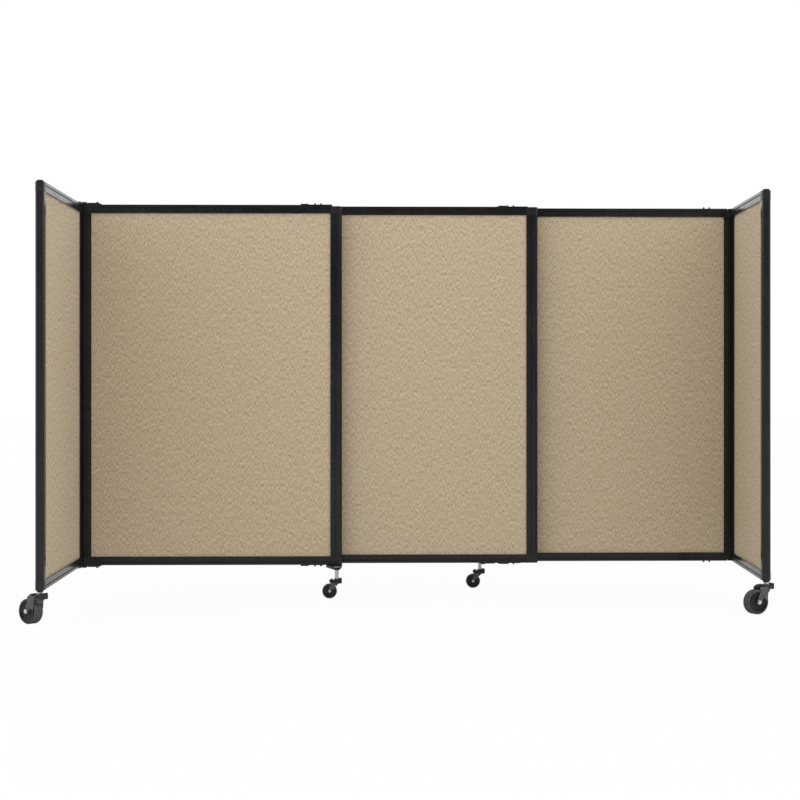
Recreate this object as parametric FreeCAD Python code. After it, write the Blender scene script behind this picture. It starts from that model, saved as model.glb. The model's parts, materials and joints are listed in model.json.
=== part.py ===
import FreeCAD, Part
import math
import os
from FreeCAD import Vector

# Rolling fabric partition: three framed panels that slide past one another, a hinged wing at
# each end, and four swivel casters. All lengths are millimetres and all angles degrees.
# Each panel is built lying along X from its left edge, with its centre plane at Y = 0 and the
# floor at Z = 0, and is then set in its place. A wing is built from its hinge pivot instead.

# Panels
frame_height = 1118.0
floor_clearance = 94.8
frame_thickness = 25.0
post_width = 36.0
rail_height = 26.4
panel_width = 813.0
left_wing_width = 751.8
right_wing_width = 639.0

# Where the panels stand in the wall
panel_pitch = 58.0
middle_overlap = 198.5
right_overlap = 180.5

# Core board and its fabric
core_thickness = 14.6
fabric_thickness = 0.9
board_insertion = 8.0
board_play = 0.3
channel_bottom_play = 2.0

# Grooves of the extrusions
rail_channel_width = 9.2
rail_channel_depth = 6.0
side_groove_width = 3.2
side_groove_depth = 3.0
side_groove_inset = 8.0
post_groove_width = 2.2
post_groove_depth = 1.8
post_flat_width = 14.6
post_bore_radius = 8.5

# Corner blocks
cap_rise = 4.5
cap_round = 2.2
cap_radius = 9.8
left_corner_step = 3.6
rear_corner_step = 0.6
corner_proud = 0.4
tenon_length = 24.0
tenon_play = 0.2

# Wing hinges
pivot_distance = 27.4
link_thickness = 3.5
link_end_radius = 11.5
link_gap = 0.4
pin_radius = 4.0
pin_head_radius = 9.5
pin_head_height = 4.0
pin_head_round = 1.5
pin_depth = 22.0
right_hinge_drop = 8.0
hinge_seat_length = 25.0
running_play = 0.08
left_link_angle = 54.0
left_wing_angle = 89.7
right_link_angle = 62.0
right_wing_angle = 92.5

# Slide brackets, their glides and the screws
bracket_left_inset = 129.0
bracket_right_inset = 31.0
lower_bracket_right_inset = 54.5
bracket_thickness = 1.2
bracket_relief = 0.4
bracket_relief_start = 2.0
bracket_overhang = 8.0
bracket_corner_radius = 4.0
left_stop_inset = 116.0
middle_stop_inset = 111.0
stop_length = 24.0
stop_height = 2.4
stop_depth = 22.0
glide_inset = 85.0
glide_length = 30.0
glide_play = 0.4
glide_bottom_play = 1.0
guide_inset = 45.0
guide_length = 40.0
guide_height = 14.0
guide_face_play = 0.4
tongue_play = 0.4
tongue_tip_play = 0.6
left_screw_insets = (84.0, 66.0)
middle_screw_insets = (95.0, 76.0)
screw_head_radius = 2.8
screw_head_height = 4.4
screw_shank_radius = 1.8
screw_depth = 9.0
rail_screw_radius = 2.6
right_rail_screw_insets = (100.0, 82.0)

# The plate beside the left hinge
rail_plate_inset = 24.8
rail_plate_length = 45.7
rail_plate_taper = 11.0
rail_plate_thickness = 5.5
rail_plate_screw_inset = 53.0

# Caster brackets under the free posts of the outer panels
caster_reach = 95.0
left_caster_inset = 15.5
right_caster_inset = 7.5
caster_bracket_thickness = 7.6
caster_bracket_base = 50.0
caster_bracket_tip = 20.0
bracket_bolt_radius = 6.0
bracket_bolt_height = 3.0
bracket_bolt_depth = 18.0
bracket_bolt_shank = 3.0

# Casters
axle_side_play = 0.6
ring_play = 1.3
hub_top_play = 0.4
left_wing_caster_heading = -39.0
right_wing_caster_heading = 25.0
left_panel_caster_heading = 0.0
right_panel_caster_heading = 0.0

# Derived places
half = frame_thickness / 2
frame_bottom = floor_clearance
frame_top = floor_clearance + frame_height
cover_half = core_thickness / 2 + fabric_thickness
left_panel_place = Vector(0, 0, 0)
middle_panel_place = Vector(panel_width - middle_overlap, panel_pitch, 0)
right_panel_place = middle_panel_place + Vector(panel_width - right_overlap, panel_pitch, 0)
up = Vector(0, 0, 1)


class CasterSizes:
    """Sizes of one kind of caster, along its swivel axis and its wheel."""

    def __init__(self, wheel_radius, wheel_width, trail, hub_radius, hub_bottom, hub_top,
                 stem_radius, arm_thickness, boss_radius, axle_radius, axle_head_radius,
                 axle_head_height, tread_round, dish_depth, rim_width, wheel_hub_radius,
                 ring_width, ring_bottom, ring_height, pedal_length, pedal_width, pedal_rise,
                 shoe_length, stub_radius, stub_depth, stem_depth):
        self.wheel_radius = wheel_radius
        self.wheel_width = wheel_width
        self.trail = trail
        self.hub_radius = hub_radius
        self.hub_bottom = hub_bottom
        self.hub_top = hub_top
        self.stem_radius = stem_radius
        self.arm_thickness = arm_thickness
        self.boss_radius = boss_radius
        self.axle_radius = axle_radius
        self.axle_head_radius = axle_head_radius
        self.axle_head_height = axle_head_height
        self.tread_round = tread_round
        self.dish_depth = dish_depth
        self.rim_width = rim_width
        self.wheel_hub_radius = wheel_hub_radius
        self.ring_width = ring_width
        self.ring_bottom = ring_bottom
        self.ring_height = ring_height
        self.pedal_length = pedal_length
        self.pedal_width = pedal_width
        self.pedal_rise = pedal_rise
        self.shoe_length = shoe_length
        self.stub_radius = stub_radius
        self.stub_depth = stub_depth
        self.stem_depth = stem_depth


big_caster = CasterSizes(
    wheel_radius=35.0, wheel_width=30.0, trail=36.6, hub_radius=12.0, hub_bottom=70.8,
    hub_top=84.0, stem_radius=5.5, arm_thickness=3.2, boss_radius=9.5, axle_radius=4.0,
    axle_head_radius=6.4, axle_head_height=2.6, tread_round=2.5, dish_depth=3.0,
    rim_width=8.0, wheel_hub_radius=9.0, ring_width=4.5, ring_bottom=73.0, ring_height=8.0,
    pedal_length=2.0, pedal_width=18.0, pedal_rise=6.5, shoe_length=15.5, stub_radius=2.0,
    stub_depth=3.6, stem_depth=10.0)
small_caster = CasterSizes(
    wheel_radius=22.5, wheel_width=18.0, trail=22.0, hub_radius=9.6, hub_bottom=46.4,
    hub_top=60.0, stem_radius=6.2, arm_thickness=2.6, boss_radius=7.0, axle_radius=3.0,
    axle_head_radius=5.2, axle_head_height=2.0, tread_round=3.6, dish_depth=2.2,
    rim_width=5.0, wheel_hub_radius=6.5, ring_width=4.0, ring_bottom=49.2, ring_height=6.8,
    pedal_length=1.8, pedal_width=14.0, pedal_rise=6.0, shoe_length=8.6, stub_radius=1.8,
    stub_depth=1.8, stem_depth=9.0)

# Stems: a plain ring under each wing post, a low head on each caster bracket
stem_ring_radius = 8.2
stem_insertion = 46.0
stem_head_radius = 8.5
stem_head_height = 1.4


def box(x0, x1, y0, y1, z0, z1):
    """A block between two corners, given as three pairs of limits."""
    low = Vector(min(x0, x1), min(y0, y1), min(z0, z1))
    return Part.makeBox(abs(x1 - x0), abs(y1 - y0), abs(z1 - z0), low)


def rod(radius, start, direction, length):
    """A round bar from a point, along a direction."""
    return Part.makeCylinder(radius, length, start, direction)


def rectangle(u0, u1, v0, v1, point):
    """A flat rectangle; point turns its two coordinates into a place in space."""
    corners = [point(u0, v0), point(u1, v0), point(u1, v1), point(u0, v1), point(u0, v0)]
    return Part.Face(Part.makePolygon(corners))


def flat(x, y):
    return Vector(x, y, 0)


def upright(y, z):
    return Vector(0, y, z)


def upper_edges(shape, height):
    """The edges that lie at one height."""
    return [edge for edge in shape.Edges
            if all(abs(vertex.Z - height) < running_play for vertex in edge.Vertexes)]


def post_outline(proud):
    """A post seen from above: round at the free edge, square at the fabric."""
    radius = half + proud
    straight = [
        Part.LineSegment(flat(half, radius), flat(post_width, radius)),
        Part.LineSegment(flat(post_width, radius), flat(post_width, -radius)),
        Part.LineSegment(flat(post_width, -radius), flat(half, -radius)),
    ]
    nose = Part.Arc(flat(half, -radius), flat(half - radius, 0), flat(half, radius))
    return Part.Face(Part.Wire([piece.toShape() for piece in straight + [nose]]))


def post_section():
    """The post's extrusion: side grooves, a channel for the board and a round bore."""
    groove_x = post_width - post_flat_width
    channel_half = cover_half + board_play
    channel_x = post_width - board_insertion - channel_bottom_play
    cuts = [rectangle(groove_x - post_groove_width, groove_x, side * (half - post_groove_depth),
                      side * frame_thickness, flat) for side in (-1, 1)]
    cuts.append(rectangle(channel_x, post_width + board_insertion,
                          -channel_half, channel_half, flat))
    cuts.append(Part.Face(Part.Wire(Part.makeCircle(post_bore_radius, flat(half, 0), up))))
    return post_outline(0).cut(Part.makeCompound(cuts))


def rail_section():
    """The top rail's extrusion, with its upper face at zero height."""
    channel_half = cover_half + board_play
    outer = rectangle(-half, half, -rail_height, 0, upright)
    groove_low = -(side_groove_inset + side_groove_width)
    board_z = -rail_height + board_insertion + channel_bottom_play
    cuts = [rectangle(side * (half - side_groove_depth), side * frame_thickness,
                      groove_low, -side_groove_inset, upright) for side in (-1, 1)]
    cuts.append(rectangle(-rail_channel_width / 2, rail_channel_width / 2,
                          -rail_channel_depth, rail_channel_depth, upright))
    cuts.append(rectangle(-channel_half, channel_half,
                          -rail_height - board_insertion, board_z, upright))
    return outer.cut(Part.makeCompound(cuts))


def mirrored_left(shape, width):
    """The same piece at the other end of a panel."""
    return shape.mirror(Vector(width / 2, 0, 0), Vector(1, 0, 0))


def turned_over(shape):
    """The same piece at the bottom of the frame."""
    return shape.mirror(Vector(0, 0, (frame_top + frame_bottom) / 2), up)


def board_box(width, play):
    """The space that the covered board fills, wider all round by a play."""
    edge = post_width - board_insertion - play
    low = frame_bottom + rail_height - board_insertion - play
    high = frame_top - rail_height + board_insertion + play
    return box(edge, width - edge, -cover_half - play, cover_half + play, low, high)


def board(width):
    edge = post_width - board_insertion
    low = frame_bottom + rail_height - board_insertion
    high = frame_top - rail_height + board_insertion
    return [box(edge, width - edge, -core_thickness / 2, core_thickness / 2, low, high)]


def fabric(width):
    """One cloth on each face of the board, tucked into the frame all round."""
    edge = post_width - board_insertion
    low = frame_bottom + rail_height - board_insertion
    high = frame_top - rail_height + board_insertion
    return [box(edge, width - edge, side * core_thickness / 2, side * cover_half, low, high)
            for side in (-1, 1)]


def rails(width):
    section = rail_section()
    section.translate(Vector(post_width, 0, frame_top))
    top = section.extrude(Vector(width - 2 * post_width, 0, 0)).Solids[0]
    return [top, turned_over(top)]


def posts(width):
    section = post_section()
    section.translate(Vector(0, 0, frame_bottom + rail_height))
    left = section.extrude(Vector(0, 0, frame_height - 2 * rail_height)).Solids[0]
    return [left, mirrored_left(left, width)]


def corner(width, step, hole_radius, nose_rise):
    """The top left corner block, with a tenon down the post's bore.

    Its top lies a step below the rail, and its round nose may stand higher or lower than that.
    """
    low = frame_top - rail_height
    outline = post_outline(corner_proud)
    outline.translate(Vector(0, 0, low))
    top = frame_top - step
    block = outline.extrude(Vector(0, 0, top - low))
    if step:
        block = block.makeFillet(cap_round, upper_edges(block, top))
    if nose_rise > 0:
        cap = rod(cap_radius, Vector(half, 0, top - cap_round), up, nose_rise + cap_round)
        block = block.fuse(cap.makeFillet(cap_round, upper_edges(cap, top + nose_rise)))
    if nose_rise < 0:
        block = block.cut(box(-frame_thickness, hinge_seat_length, -frame_thickness,
                              frame_thickness, top + nose_rise, frame_top + frame_thickness))
    tenon = rod(post_bore_radius - tenon_play, Vector(half, 0, low - tenon_length), up,
                tenon_length + cap_round)
    block = block.fuse(tenon).removeSplitter()
    block = block.cut(board_box(width, board_play))
    if hole_radius:
        length = top - low + 2 * tenon_length
        block = block.cut(rod(hole_radius, Vector(half, 0, low - tenon_length - cap_round),
                              up, length))
    return block.Solids[0]


def hinge_blocks(width, drop):
    """The two corner blocks of a hinge, whose link plates seat a drop below the rail."""
    return with_bottom([corner(width, 0, pin_radius, -drop)])


def free_blocks(width, step):
    """The two corner blocks of a free post: stepped down at the top, flush below."""
    return [corner(width, step, 0, 0), turned_over(corner(width, 0, 0, 0))]


def to_right(blocks, width):
    return [mirrored_left(block, width) for block in blocks]


def wing_corners(width, drop):
    """A wing's corner blocks: pivot holes at the left, caps and a stem hole at the right."""
    cap_block = corner(width, 0, 0, cap_rise)
    foot_block = turned_over(corner(width, 0, big_caster.stem_radius, cap_rise))
    return hinge_blocks(width, drop) + to_right([cap_block, foot_block], width)


def pivot_pin(x, drop):
    """A headed pin through a link plate into a corner block, at the top of a frame."""
    base = frame_top - drop
    seat = base + link_gap + link_thickness + link_gap
    shank = rod(pin_radius, Vector(x, 0, base - pin_depth), up, seat - base + pin_depth)
    head = rod(pin_head_radius, Vector(x, 0, seat), up, pin_head_height)
    head = head.makeFillet(pin_head_round, upper_edges(head, seat + pin_head_height))
    return shank.fuse(head).removeSplitter()


def screw(x, y, seat, radius):
    """A round-headed screw standing on a level face at the top of a frame."""
    shank = rod(screw_shank_radius, Vector(x, y, seat - screw_depth), up, screw_depth)
    head = rod(radius, Vector(x, y, seat), up, screw_head_height)
    head = head.makeFillet(radius / 3, upper_edges(head, seat + screw_head_height))
    return shank.fuse(head).removeSplitter()


def with_bottom(tops):
    """Pieces at the top of a frame and the same pieces at its bottom."""
    return tops + [turned_over(piece) for piece in tops]


def screw_hole(x, y, seat):
    return rod(screw_shank_radius, Vector(x, y, seat - screw_depth), up, 2 * screw_depth)


def rounded_plate(x0, x1, y0, y1, z0, z1, radius):
    plate = box(x0, x1, y0, y1, z0, z1)
    upright_edges = [edge for edge in plate.Edges
                     if abs(edge.Vertexes[0].Z - edge.Vertexes[1].Z) > (z1 - z0) / 2]
    return plate.makeFillet(radius, upright_edges)


def slide_bracket(right_inset, stop_inset, screw_insets):
    """The top bracket of a panel: screwed to its rail, reaching over the rail behind."""
    left = panel_width - bracket_left_inset
    right = panel_width - right_inset
    back = panel_pitch + bracket_overhang
    plate = rounded_plate(left, right, -half, back, frame_top, frame_top + bracket_thickness,
                          bracket_corner_radius)
    plate = plate.cut(box(left - bracket_relief, right + bracket_relief,
                          half + bracket_relief_start, back + bracket_relief,
                          frame_top - bracket_relief, frame_top + bracket_relief))
    stop_x = panel_width - stop_inset
    stop = rounded_plate(stop_x - stop_length / 2, stop_x + stop_length / 2, -half,
                         -half + stop_depth, frame_top + bracket_thickness / 2,
                         frame_top + bracket_thickness + stop_height, stop_height / 2)
    bracket = plate.fuse(stop).removeSplitter()
    for inset in screw_insets:
        bracket = bracket.cut(screw_hole(panel_width - inset, 0, frame_top + bracket_thickness))
    return bracket.Solids[0]


def slide_glide():
    """The glide under a slide bracket, which runs in the channel of the rail behind."""
    x = panel_width - glide_inset
    width = rail_channel_width / 2 - glide_play
    low = frame_top - rail_channel_depth + glide_bottom_play
    return rounded_plate(x - glide_length / 2, x + glide_length / 2, panel_pitch - width,
                         panel_pitch + width, low, frame_top + bracket_relief, width / 2)


def guide_block():
    """The block on the left end of a rear panel, with a tongue in the rail in front."""
    front = -panel_pitch + half + guide_face_play
    groove_z = frame_top - side_groove_inset - side_groove_width / 2
    body = box(guide_inset, guide_inset + guide_length, front, -half,
               groove_z - guide_height / 2, groove_z + guide_height / 2)
    tip = -panel_pitch + half - side_groove_depth + tongue_tip_play
    tongue_half = side_groove_width / 2 - tongue_play
    tongue = box(guide_inset, guide_inset + guide_length, tip, front + guide_face_play,
                 groove_z - tongue_half, groove_z + tongue_half)
    return body.fuse(tongue).removeSplitter()


def slide_screws(screw_insets):
    seat = frame_top + bracket_thickness
    return [screw(panel_width - inset, 0, seat, screw_head_radius) for inset in screw_insets]


def rail_screw(x):
    """A screw through the front lip of a rail."""
    lip = (half + rail_channel_width / 2) / 2
    return screw(x, -lip, frame_top, rail_screw_radius)


def rail_plate():
    """The plate on the rail beside the left hinge, tapered at its inner end."""
    x0 = rail_plate_inset
    x1 = x0 + rail_plate_length
    z0 = frame_top
    z1 = z0 + rail_plate_thickness
    outline = [Vector(x0, -half, z0), Vector(x0, -half, z1),
               Vector(x1 - rail_plate_taper, -half, z1), Vector(x1, -half, z0),
               Vector(x0, -half, z0)]
    plate = Part.Face(Part.makePolygon(outline)).extrude(Vector(0, frame_thickness, 0))
    return plate.cut(screw_hole(rail_plate_screw_inset, 0, z1)).Solids[0]


def caster_bracket(side, tip_x):
    """The tapered plate under a free post; side is -1 to the front and 1 to the back."""
    z0 = frame_bottom - caster_bracket_thickness
    tip_half = caster_bracket_tip / 2
    tip_y = side * caster_reach
    points = [
        Vector(0, -side * half, z0), Vector(0, side * half, z0),
        Vector(tip_x - tip_half, tip_y, z0), Vector(tip_x, tip_y + side * tip_half, z0),
        Vector(tip_x + tip_half, tip_y, z0), Vector(caster_bracket_base, side * half, z0),
        Vector(caster_bracket_base, -side * half, z0),
    ]
    edges = [
        Part.LineSegment(points[0], points[1]), Part.LineSegment(points[1], points[2]),
        Part.Arc(points[2], points[3], points[4]), Part.LineSegment(points[4], points[5]),
        Part.LineSegment(points[5], points[6]), Part.LineSegment(points[6], points[0]),
    ]
    outline = Part.Face(Part.Wire([edge.toShape() for edge in edges]))
    plate = outline.extrude(Vector(0, 0, caster_bracket_thickness))
    plate = plate.cut(rod(small_caster.stem_radius,
                          Vector(tip_x, tip_y, z0 - caster_bracket_thickness), up,
                          3 * caster_bracket_thickness))
    plate = plate.cut(rod(bracket_bolt_shank,
                          Vector(half, 0, z0 - caster_bracket_thickness), up,
                          3 * caster_bracket_thickness))
    return plate.Solids[0]


def bracket_bolt():
    """The bolt that holds a caster bracket up against the corner block."""
    seat = frame_bottom - caster_bracket_thickness
    shank = rod(bracket_bolt_shank, Vector(half, 0, seat), up,
                caster_bracket_thickness + bracket_bolt_depth)
    head = rod(bracket_bolt_radius, Vector(half, 0, seat - bracket_bolt_height), up,
               bracket_bolt_height)
    head = head.makeFillet(bracket_bolt_height / 3, upper_edges(head, seat - bracket_bolt_height))
    return shank.fuse(head).removeSplitter()


def link_plate(start, direction, drop):
    """A hinge link at the top of a frame, from the panel's pivot towards the wing's."""
    z0 = frame_top - drop + link_gap
    end = start + direction * pivot_distance
    across = Vector(-direction.y, direction.x, 0) * link_end_radius
    corners_of_web = [start + across, end + across, end - across, start - across, start + across]
    web = Part.Face(Part.makePolygon([Vector(p.x, p.y, z0) for p in corners_of_web]))
    plate = web.extrude(Vector(0, 0, link_thickness))
    for centre in (start, end):
        eye = rod(link_end_radius, Vector(centre.x, centre.y, z0), up, link_thickness)
        plate = plate.fuse(eye)
    plate = plate.removeSplitter()
    for centre in (start, end):
        plate = plate.cut(rod(pin_radius + running_play,
                              Vector(centre.x, centre.y, z0 - link_gap), up,
                              link_thickness + 2 * link_gap))
    return plate.Solids[0]


def wheel(c):
    """A wheel with rounded treads and dished sides, turning on a plain bore."""
    across = Vector(0, 1, 0)
    centre = Vector(-c.trail, 0, c.wheel_radius)
    start = centre - across * (c.wheel_width / 2)
    tyre = rod(c.wheel_radius, start, across, c.wheel_width)
    tyre = tyre.makeFillet(c.tread_round, [edge for edge in tyre.Edges if edge.Closed])
    for side in (-1, 1):
        face = centre + across * (side * c.wheel_width / 2)
        inward = across * (-side)
        dish = rod(c.wheel_radius - c.rim_width, face, inward, c.dish_depth)
        dish = dish.cut(rod(c.wheel_hub_radius, face, inward, c.dish_depth))
        tyre = tyre.cut(dish)
    return tyre.cut(rod(c.axle_radius + running_play, start, across, c.wheel_width)).Solids[0]


def fork_half_width(c):
    return c.wheel_width / 2 + axle_side_play


def axle(c):
    """The axle with a rounded head outside each arm of the fork."""
    across = Vector(0, 1, 0)
    outer = fork_half_width(c) + c.arm_thickness
    centre = Vector(-c.trail, 0, c.wheel_radius)
    pin = rod(c.axle_radius, centre - across * outer, across, 2 * outer)
    for side in (-1, 1):
        seat = centre + across * (side * outer)
        head = Part.makeCone(c.axle_head_radius, c.axle_head_radius - c.axle_head_height / 2,
                             c.axle_head_height, seat, across * side)
        pin = pin.fuse(head)
    return pin.removeSplitter()


def fork(c):
    """The swivel hub and the two arms that carry the axle."""
    across = Vector(0, 1, 0)
    inner = fork_half_width(c)
    outer = inner + c.arm_thickness
    crown_low = c.hub_bottom - 2 * c.arm_thickness
    axle_point = Vector(-c.trail, -outer, c.wheel_radius)
    hub_point = Vector(0, -outer, c.hub_bottom)
    line = (hub_point - axle_point).normalize()
    offset = Vector(-line.z, 0, line.x) * c.boss_radius
    shoulder_top = c.ring_bottom - ring_play - c.arm_thickness / 2
    outline = [axle_point + offset, Vector(-c.hub_radius, -outer, shoulder_top),
               Vector(c.hub_radius, -outer, shoulder_top),
               Vector(c.hub_radius, -outer, c.hub_bottom - c.arm_thickness),
               axle_point - offset, axle_point + offset]
    arm = Part.Face(Part.makePolygon(outline)).extrude(across * c.arm_thickness)
    arm = arm.fuse(rod(c.boss_radius, axle_point, across, c.arm_thickness))
    arms = [arm, arm.mirror(Vector(0, 0, 0), across)]
    hub = rod(c.hub_radius, Vector(0, 0, crown_low), up, c.hub_top - crown_low)
    crown = box(-c.hub_radius, c.hub_radius, -outer, outer, crown_low, shoulder_top)
    body = hub.fuse(arms + [crown]).removeSplitter()
    body = body.cut(rod(c.stem_radius + running_play,
                        Vector(0, 0, c.hub_top - c.stem_depth - hub_top_play), up,
                        c.stem_depth + c.hub_top))
    body = body.cut(rod(c.axle_radius, axle_point, across, 2 * outer))
    ring_middle = c.ring_bottom + c.ring_height / 2
    stub_hole = rod(c.stub_radius + running_play, Vector(0, -outer, ring_middle), across,
                    outer - c.hub_radius + c.stub_depth + running_play)
    for hole in (stub_hole, stub_hole.mirror(Vector(0, 0, 0), across)):
        body = body.cut(hole)
    wheel_space = rod(c.wheel_radius + axle_side_play, Vector(-c.trail, -inner, c.wheel_radius),
                      across, 2 * inner)
    return body.cut(wheel_space).Solids[0]


def brake(c):
    """The rocking brake ring round the hub, with a pedal ahead and a shoe above the wheel."""
    across = Vector(0, 1, 0)
    inner = c.hub_radius + ring_play
    outer = inner + c.ring_width
    z0 = c.ring_bottom
    ring = rod(outer, Vector(0, 0, z0), up, c.ring_height)
    half_pedal = c.pedal_width / 2
    pedal_end = outer + c.pedal_length
    pedal = box(c.hub_radius, pedal_end, -half_pedal, half_pedal, z0,
                z0 + c.ring_height + c.pedal_rise)
    outer_edges = [edge for edge in pedal.Edges
                   if all(abs(vertex.X - pedal_end) < running_play for vertex in edge.Vertexes)
                   and abs(edge.Vertexes[0].Z - edge.Vertexes[1].Z) > running_play]
    pedal = pedal.makeFillet(c.pedal_length / 2, outer_edges)
    shoe = box(-outer - c.shoe_length, -c.hub_radius, -half_pedal / 2, half_pedal / 2,
               z0 + c.ring_width / 2, z0 + c.ring_height)
    bore = rod(inner, Vector(0, 0, z0 - c.ring_height), up, 4 * c.ring_height)
    ring = ring.fuse(pedal).fuse(shoe).cut(bore)
    middle = z0 + c.ring_height / 2
    for side in (-1, 1):
        stub = rod(c.stub_radius, Vector(0, side * (inner + c.ring_width / 2), middle),
                   across * (-side), c.ring_width / 2 + ring_play + c.stub_depth)
        ring = ring.fuse(stub)
    return ring.Solids[0]


def wing_stem():
    """A stem up the wing's outer post, with the plain ring that shows under the post."""
    c = big_caster
    seat = frame_bottom - cap_rise
    low = c.hub_top + hub_top_play
    stem = rod(c.stem_radius, Vector(0, 0, c.hub_top - c.stem_depth), up,
               seat + stem_insertion - c.hub_top + c.stem_depth)
    return [stem.fuse(rod(stem_ring_radius, Vector(0, 0, low), up, seat - low)).removeSplitter()]


def bracket_stem():
    """A stem through the tip of a caster bracket, with a low head on the plate."""
    c = small_caster
    low = c.hub_top - c.stem_depth
    stem = rod(c.stem_radius, Vector(0, 0, low), up, frame_bottom - low)
    head = rod(stem_head_radius, Vector(0, 0, frame_bottom), up, stem_head_height)
    head = head.makeFillet(stem_head_height / 2,
                           upper_edges(head, frame_bottom + stem_head_height))
    return [stem.fuse(head).removeSplitter()]


def placed(solids, angle, place):
    """Solids turned about the local vertical and then moved to their place."""
    result = []
    for solid in solids:
        copy = solid.copy()
        copy.rotate(Vector(0, 0, 0), up, angle)
        copy.translate(place)
        result.append(copy)
    return result


def wing_frame(solids, angle, pivot):
    """Solids of a wing, built from its left edge, hung on its pivot and turned."""
    moved = []
    for solid in solids:
        copy = solid.copy()
        copy.translate(Vector(-half, 0, 0))
        moved.append(copy)
    return placed(moved, angle, pivot)


# Pivots and swivel axes, before the part is centred on its origin
left_link_direction = Vector(-math.cos(math.radians(left_link_angle)),
                             -math.sin(math.radians(left_link_angle)), 0)
right_link_direction = Vector(math.cos(math.radians(right_link_angle)),
                              -math.sin(math.radians(right_link_angle)), 0)
left_panel_pivot = Vector(half, 0, 0)
left_wing_pivot = left_panel_pivot + left_link_direction * pivot_distance
right_panel_pivot = right_panel_place + Vector(panel_width - half, 0, 0)
right_wing_pivot = right_panel_pivot + right_link_direction * pivot_distance
left_wing_turn = left_wing_angle - 180
right_wing_turn = -right_wing_angle


def along(angle, length):
    return Vector(math.cos(math.radians(angle)), math.sin(math.radians(angle)), 0) * length


left_wing_caster_place = left_wing_pivot + along(left_wing_turn, left_wing_width - 2 * half)
right_wing_caster_place = right_wing_pivot + along(right_wing_turn, right_wing_width - 2 * half)
left_panel_caster_place = left_panel_place + Vector(panel_width - left_caster_inset,
                                                    -caster_reach, 0)
right_panel_caster_place = right_panel_place + Vector(right_caster_inset, caster_reach, 0)

nodes = {}


def add_panel(name, width, place, left_blocks, right_blocks):
    """The five kinds of piece that every main panel has."""
    pieces = {
        "board": board(width),
        "fabric": fabric(width),
        "rails": rails(width),
        "posts": posts(width),
        "corners": left_blocks + to_right(right_blocks, width),
    }
    for kind, solids in pieces.items():
        nodes[name + "_" + kind] = placed(solids, 0, place)


def add_wing(name, width, turn, pivot, drop):
    """The same pieces for a wing, with its hinge post on the pivot."""
    pieces = {
        "board": board(width),
        "fabric": fabric(width),
        "rails": rails(width),
        "posts": posts(width),
        "corners": wing_corners(width, drop),
        "hinge_pins": with_bottom([pivot_pin(half, drop)]),
    }
    for kind, solids in pieces.items():
        nodes[name + "_" + kind] = wing_frame(solids, turn, pivot)


def add_link(name, start, direction, drop):
    nodes[name] = with_bottom([link_plate(start, direction, drop)])


def add_caster(name, sizes, stem, place, heading):
    nodes[name + "_stem"] = placed(stem, 0, place)
    nodes[name + "_fork"] = placed([fork(sizes)], heading, place)
    nodes[name + "_axle"] = placed([axle(sizes)], heading, place)
    nodes[name + "_wheel"] = placed([wheel(sizes)], heading, place)
    nodes[name + "_brake"] = placed([brake(sizes)], heading, place)


def build_panels():
    rear_blocks = free_blocks(panel_width, rear_corner_step)
    add_panel("left_panel", panel_width, left_panel_place, hinge_blocks(panel_width, 0),
              free_blocks(panel_width, left_corner_step))
    add_panel("middle_panel", panel_width, middle_panel_place, rear_blocks, rear_blocks)
    add_panel("right_panel", panel_width, right_panel_place, rear_blocks,
              hinge_blocks(panel_width, right_hinge_drop))
    add_wing("left_wing", left_wing_width, left_wing_turn, left_wing_pivot, 0)
    add_wing("right_wing", right_wing_width, right_wing_turn, right_wing_pivot,
             right_hinge_drop)


def build_hinges():
    add_link("left_hinge_links", left_panel_pivot, left_link_direction, 0)
    add_link("right_hinge_links", right_panel_pivot, right_link_direction, right_hinge_drop)


def bracket_pair(stop_inset, screw_insets):
    """A panel's top slide bracket and its shorter bottom one."""
    return [slide_bracket(bracket_right_inset, stop_inset, screw_insets),
            turned_over(slide_bracket(lower_bracket_right_inset, stop_inset, screw_insets))]


def build_slides():
    left = bracket_pair(left_stop_inset, left_screw_insets)
    middle = bracket_pair(middle_stop_inset, middle_screw_insets)
    glides = with_bottom([slide_glide()])
    guides = with_bottom([guide_block()])
    nodes["left_panel_slide_brackets"] = placed(left, 0, left_panel_place)
    nodes["middle_panel_slide_brackets"] = placed(middle, 0, middle_panel_place)
    nodes["left_panel_glides"] = placed(glides, 0, left_panel_place)
    nodes["middle_panel_glides"] = placed(glides + guides, 0, middle_panel_place)
    nodes["right_panel_glides"] = placed(guides, 0, right_panel_place)


def build_fasteners():
    """Screws, pivot pins and bracket bolts, and the holes they need in the rails."""
    plate_screw = screw(rail_plate_screw_inset, 0, frame_top + rail_plate_thickness,
                        screw_head_radius)
    right_rail_screws = [rail_screw(panel_width - inset) for inset in right_rail_screw_insets]
    bolt = bracket_bolt()
    left = with_bottom([pivot_pin(half, 0), plate_screw] + slide_screws(left_screw_insets))
    left.append(mirrored_left(bolt, panel_width))
    middle = with_bottom(slide_screws(middle_screw_insets))
    right = with_bottom([pivot_pin(panel_width - half, right_hinge_drop)]
                        + right_rail_screws) + [bolt]
    nodes["left_panel_fasteners"] = placed(left, 0, left_panel_place)
    nodes["left_panel_rail_plates"] = placed(with_bottom([rail_plate()]), 0, left_panel_place)
    nodes["middle_panel_fasteners"] = placed(middle, 0, middle_panel_place)
    nodes["right_panel_fasteners"] = placed(right, 0, right_panel_place)


def drill_panels():
    """Open the rails and corner blocks where screws and bolts pass through them."""
    for name in ("left_panel", "middle_panel", "right_panel"):
        fasteners = Part.makeCompound(nodes[name + "_fasteners"])
        for kind in ("rails", "corners"):
            key = name + "_" + kind
            nodes[key] = [solid.cut(fasteners).Solids[0] for solid in nodes[key]]


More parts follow.
